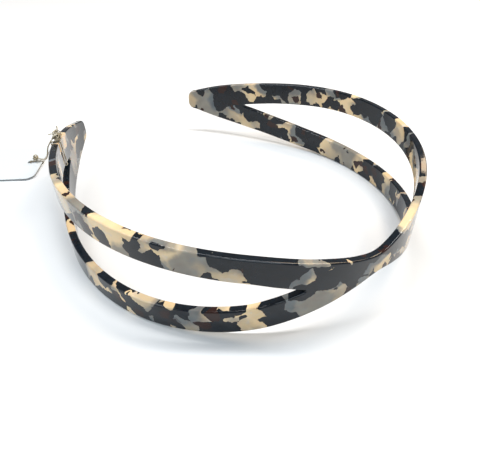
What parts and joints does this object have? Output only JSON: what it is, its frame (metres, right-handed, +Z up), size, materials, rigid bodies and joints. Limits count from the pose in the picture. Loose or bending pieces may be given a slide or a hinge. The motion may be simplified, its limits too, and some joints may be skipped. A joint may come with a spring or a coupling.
{
  "type": "headband",
  "caption": "Rigid U-shaped headband of mottled acetate, each side split into an upper and a lower strip round a long slot, with a string-tied swing tag on one tip.",
  "frame": {"origin": "centre of the band's bounding box in plan, on the surface that the lower edges stand on", "axes": "+Z up across the band's width, +Y towards the crown (tips towards -Y), +X to the arm that carries the tag"},
  "size_m": [0.1592, 0.1945, 0.0334],
  "materials": {
    "acetate": "polished mottled cellulose acetate: black and grey chips in a cream base",
    "string": "twisted thread with a dull metallic strand",
    "card": "smooth white card"
  },
  "bodies": {
    "crown": {"crown_bridge": "acetate"},
    "right_side": {"right_arm": "acetate", "tip_loop": "string", "tip_knot": "string", "tag_cord": "string", "card_knot": "string", "card_loop": "string", "swing_tag": "card"},
    "left_side": {"left_arm": "acetate"}
  },
  "joints": [
    {"name": "right_flex", "type": "hinge", "parent": "crown", "child": "right_side", "pos_m": [0.0129, 0.06903, 0.01668], "axis": [0, 0, 1], "range_deg": [-4, 14], "stiffness_Nm_per_rad": 0.9},
    {"name": "left_flex", "type": "hinge", "parent": "crown", "child": "left_side", "pos_m": [-0.0129, 0.06903, 0.01668], "axis": [0, 0, -1], "range_deg": [-4, 14], "stiffness_Nm_per_rad": 0.9}
  ]
}
